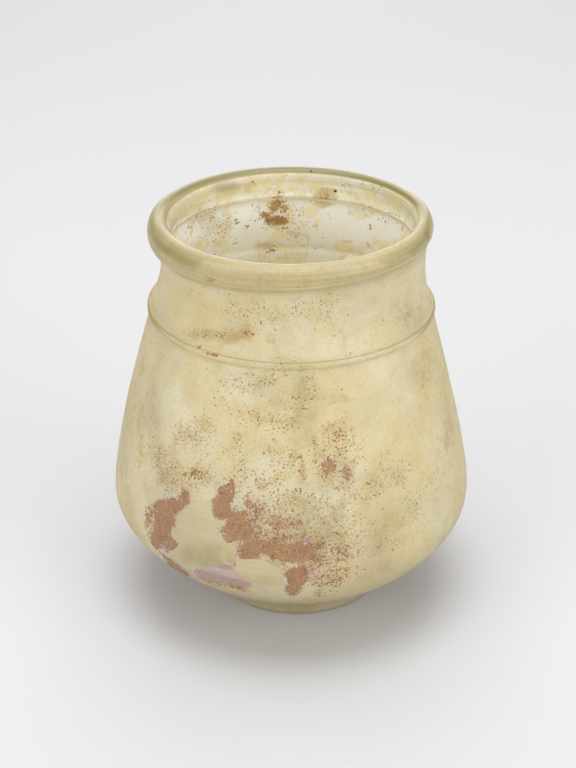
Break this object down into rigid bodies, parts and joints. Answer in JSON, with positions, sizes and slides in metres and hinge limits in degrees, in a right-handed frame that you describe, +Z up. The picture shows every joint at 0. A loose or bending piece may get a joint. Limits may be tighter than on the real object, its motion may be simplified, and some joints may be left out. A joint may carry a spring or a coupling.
{
  "type": "glass cup",
  "caption": "Free-blown glass cup with a rolled rim, waisted neck, folded collar, pear-shaped body and low pad foot; an open vessel that stands on its foot.",
  "frame": {"origin": "on the table, under the axis of the cup's widest ring", "axes": "+Z up towards the mouth, -Y towards the side with the most patina, -X towards the thick side of the rim"},
  "size_m": [0.087, 0.087, 0.0969],
  "materials": {
    "weathered_glass": "pale straw glass, dulled and iridescent from burial, with flaking brown patina and soil specks"
  },
  "bodies": {
    "root": {"cup": "weathered_glass"}
  },
  "joints": []
}
